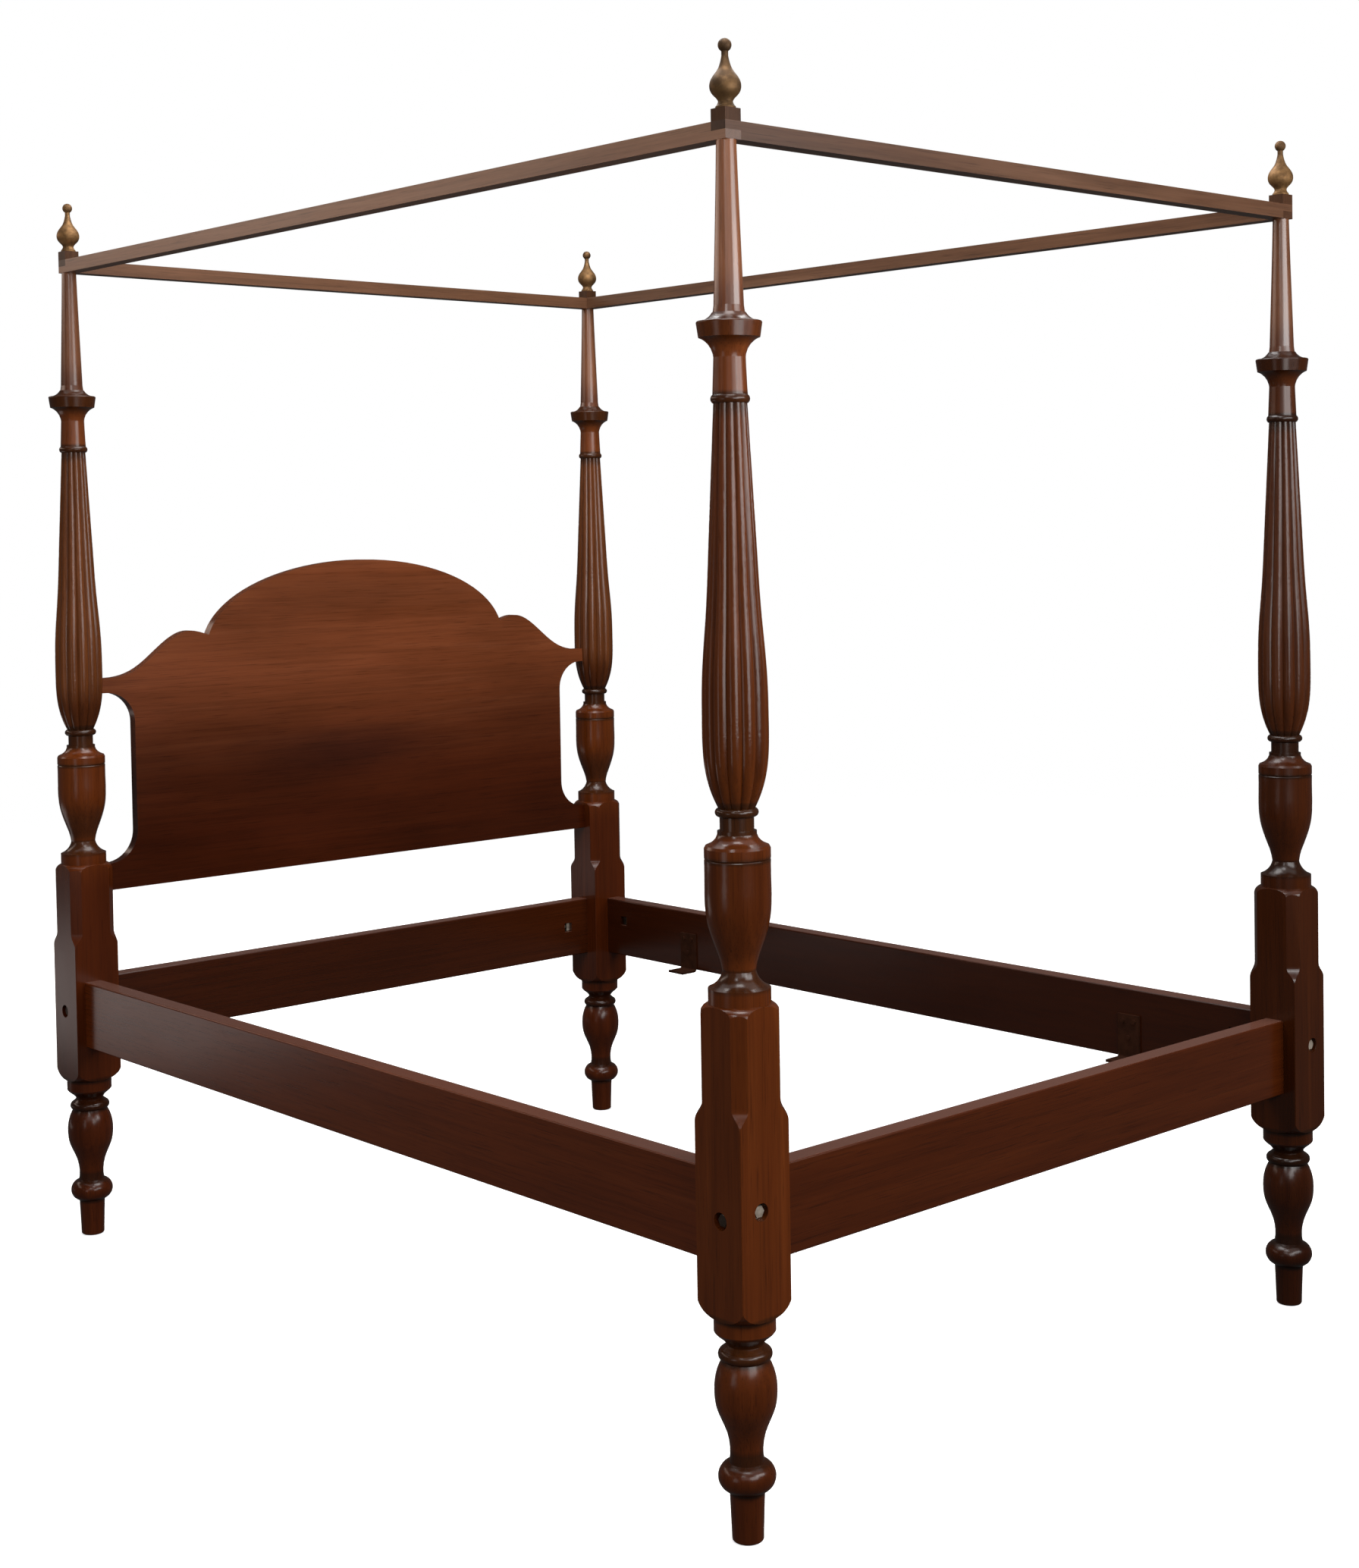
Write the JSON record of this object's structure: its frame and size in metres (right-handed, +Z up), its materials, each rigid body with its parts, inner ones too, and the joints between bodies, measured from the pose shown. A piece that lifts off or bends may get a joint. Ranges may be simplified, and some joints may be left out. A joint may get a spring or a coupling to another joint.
{
  "type": "poster bed frame",
  "caption": "Open-canopy poster bed frame with turned and reeded posts on square blocks, shaped arched headboard, plain bolted rails, slim tester frame and lift-off finials.",
  "frame": {"origin": "on the floor, at the centre of the rectangle of the posts", "axes": "+Z up, +Y towards the headboard, +X towards the right-hand side seen from the foot"},
  "size_m": [1.476, 2.086, 2.1385],
  "materials": {
    "mahogany": "gloss",
    "mahogany_panel": "gloss",
    "mahogany_canopy": "gloss",
    "antique_brass": "satin",
    "steel": "satin",
    "black_iron": "matte"
  },
  "bodies": {
    "bed_frame": {"post_foot_left": "mahogany", "canopy_post_foot_left": "mahogany_canopy", "hanger_foot_left": "black_iron", "post_foot_right": "mahogany", "canopy_post_foot_right": "mahogany_canopy", "hanger_foot_right": "black_iron", "post_head_left": "mahogany", "canopy_post_head_left": "mahogany_canopy", "hanger_head_left": "black_iron", "post_head_right": "mahogany", "canopy_post_head_right": "mahogany_canopy", "hanger_head_right": "black_iron", "side_rail_left": "mahogany", "side_rail_right": "mahogany", "foot_rail": "mahogany", "head_rail": "mahogany", "headboard": "mahogany_panel", "canopy_pins": "steel", "bed_bolts": "steel", "bolt_washers": "steel", "bolt_nuts": "steel", "hanger_screws": "black_iron"},
    "tester_frame": {"tester_rail_left": "mahogany_canopy", "tester_rail_right": "mahogany_canopy", "tester_rail_foot": "mahogany_canopy", "tester_rail_head": "mahogany_canopy", "finial_plinths": "mahogany"},
    "foot_left_finial": {"finial_foot_left": "antique_brass"},
    "foot_right_finial": {"finial_foot_right": "antique_brass"},
    "head_left_finial": {"finial_head_left": "antique_brass"},
    "head_right_finial": {"finial_head_right": "antique_brass"}
  },
  "joints": [
    {"name": "tester_lift", "type": "slide", "parent": "bed_frame", "child": "tester_frame", "axis": [0, 0, 1], "range_m": [0, 0.08]},
    {"name": "foot_left_finial_lift", "type": "slide", "parent": "tester_frame", "child": "foot_left_finial", "axis": [0, 0, 1], "range_m": [0, 0.035]},
    {"name": "foot_right_finial_lift", "type": "slide", "parent": "tester_frame", "child": "foot_right_finial", "axis": [0, 0, 1], "range_m": [0, 0.035]},
    {"name": "head_left_finial_lift", "type": "slide", "parent": "tester_frame", "child": "head_left_finial", "axis": [0, 0, 1], "range_m": [0, 0.035]},
    {"name": "head_right_finial_lift", "type": "slide", "parent": "tester_frame", "child": "head_right_finial", "axis": [0, 0, 1], "range_m": [0, 0.035]}
  ]
}
